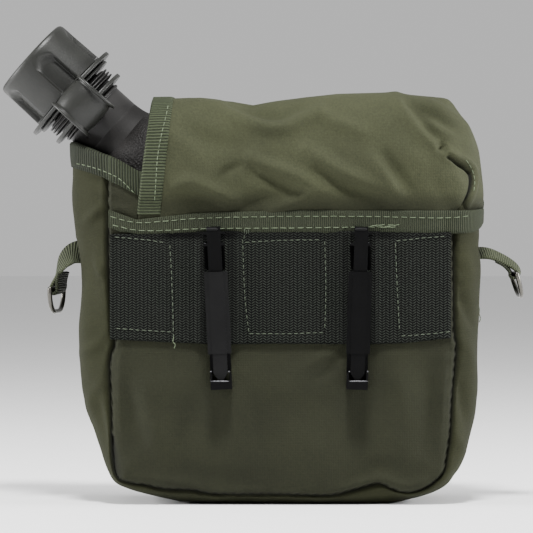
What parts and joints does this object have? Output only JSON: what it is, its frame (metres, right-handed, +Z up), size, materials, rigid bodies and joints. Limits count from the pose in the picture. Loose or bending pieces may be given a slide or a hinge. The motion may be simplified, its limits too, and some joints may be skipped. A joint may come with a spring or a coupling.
{
  "type": "canteen",
  "caption": "Collapsible plastic canteen with a slanted screw-capped neck, in a sewn cloth belt cover with a flap, belt clips and side rings.",
  "frame": {"origin": "centre of the flat bottom of the cover", "axes": "+Z up; +X towards the side away from the neck; -Y is the belt side, with the clips; +Y is the outer side, where the flap closes"},
  "size_m": [0.2748, 0.0973, 0.2505],
  "materials": {
    "bladder_plastic": "pebbled, dark grey-brown",
    "cap_plastic": "satin moulded, dark grey",
    "gasket_rubber": "matte black",
    "cover_cloth": "coated nylon cloth, olive drab",
    "pile": "acrylic pile, grey-green",
    "binding_tape": "ribbed tape, olive green",
    "belt_web": "herringbone webbing, dark green",
    "clip_steel": "black satin",
    "ring_wire": "antique nickel"
  },
  "bodies": {
    "root": {"canteen_body": "bladder_plastic", "strap_band": "cap_plastic", "strap_neck_ring": "cap_plastic", "back_panel": "cover_cloth", "front_panel": "cover_cloth", "side_gusset": "cover_cloth", "pile_liner": "pile", "mouth_binding": "binding_tape", "back_hem": "binding_tape", "belt_webbing": "belt_web", "ring_tape_left": "binding_tape", "ring_tape_right": "binding_tape", "snap_studs": "clip_steel", "snap_backs": "clip_steel", "clip_frame_left": "clip_steel", "clip_frame_right": "clip_steel"},
    "cap_ring": {"strap_cap_ring": "cap_plastic"},
    "cap": {"cap": "cap_plastic", "cap_gasket": "gasket_rubber"},
    "flap": {"flap": "cover_cloth", "flap_lining": "pile", "flap_side_binding": "binding_tape", "flap_hem": "binding_tape", "snap_caps": "clip_steel", "snap_sockets": "clip_steel"},
    "slide_left": {"clip_slide_left": "clip_steel"},
    "slide_right": {"clip_slide_right": "clip_steel"},
    "ring_left": {"d_ring_left": "ring_wire"},
    "ring_right": {"d_ring_right": "ring_wire"}
  },
  "joints": [
    {"name": "cap_lift", "type": "slide", "parent": "root", "child": "cap_ring", "axis": [-0.7431, 0, 0.6691], "range_m": [0, 0.0126], "deforming": ["strap_band"]},
    {"name": "cap_turn", "type": "hinge", "parent": "cap_ring", "child": "cap", "pos_m": [-0.0824, 0, 0.1911], "axis": [-0.7431, 0, 0.6691], "range_deg": [0, 900]},
    {"name": "flap_open", "type": "hinge", "parent": "root", "child": "flap", "pos_m": [0, -0.0404, 0.1557], "axis": [1, 0, 0], "range_deg": [0, 88]},
    {"name": "clip_slide_left", "type": "slide", "parent": "root", "child": "slide_left", "axis": [-0.0506, 0, 0.9987], "range_m": [0, 0.013]},
    {"name": "clip_slide_right", "type": "slide", "parent": "root", "child": "slide_right", "axis": [0.0279, 0, 0.9996], "range_m": [0, 0.013]},
    {"name": "ring_swing_left", "type": "hinge", "parent": "root", "child": "ring_left", "pos_m": [-0.1173, 0, 0.1123], "axis": [0.2079, 0.9781, 0], "range_deg": [-25, 80]},
    {"name": "ring_swing_right", "type": "hinge", "parent": "root", "child": "ring_right", "pos_m": [0.125, 0, 0.1201], "axis": [0.0523, -0.9986, 0], "range_deg": [-55, 60]}
  ],
  "couplings": [
    {"joint": "cap_lift", "follows": "cap_turn", "m_per_rad": 0.00079577}
  ]
}
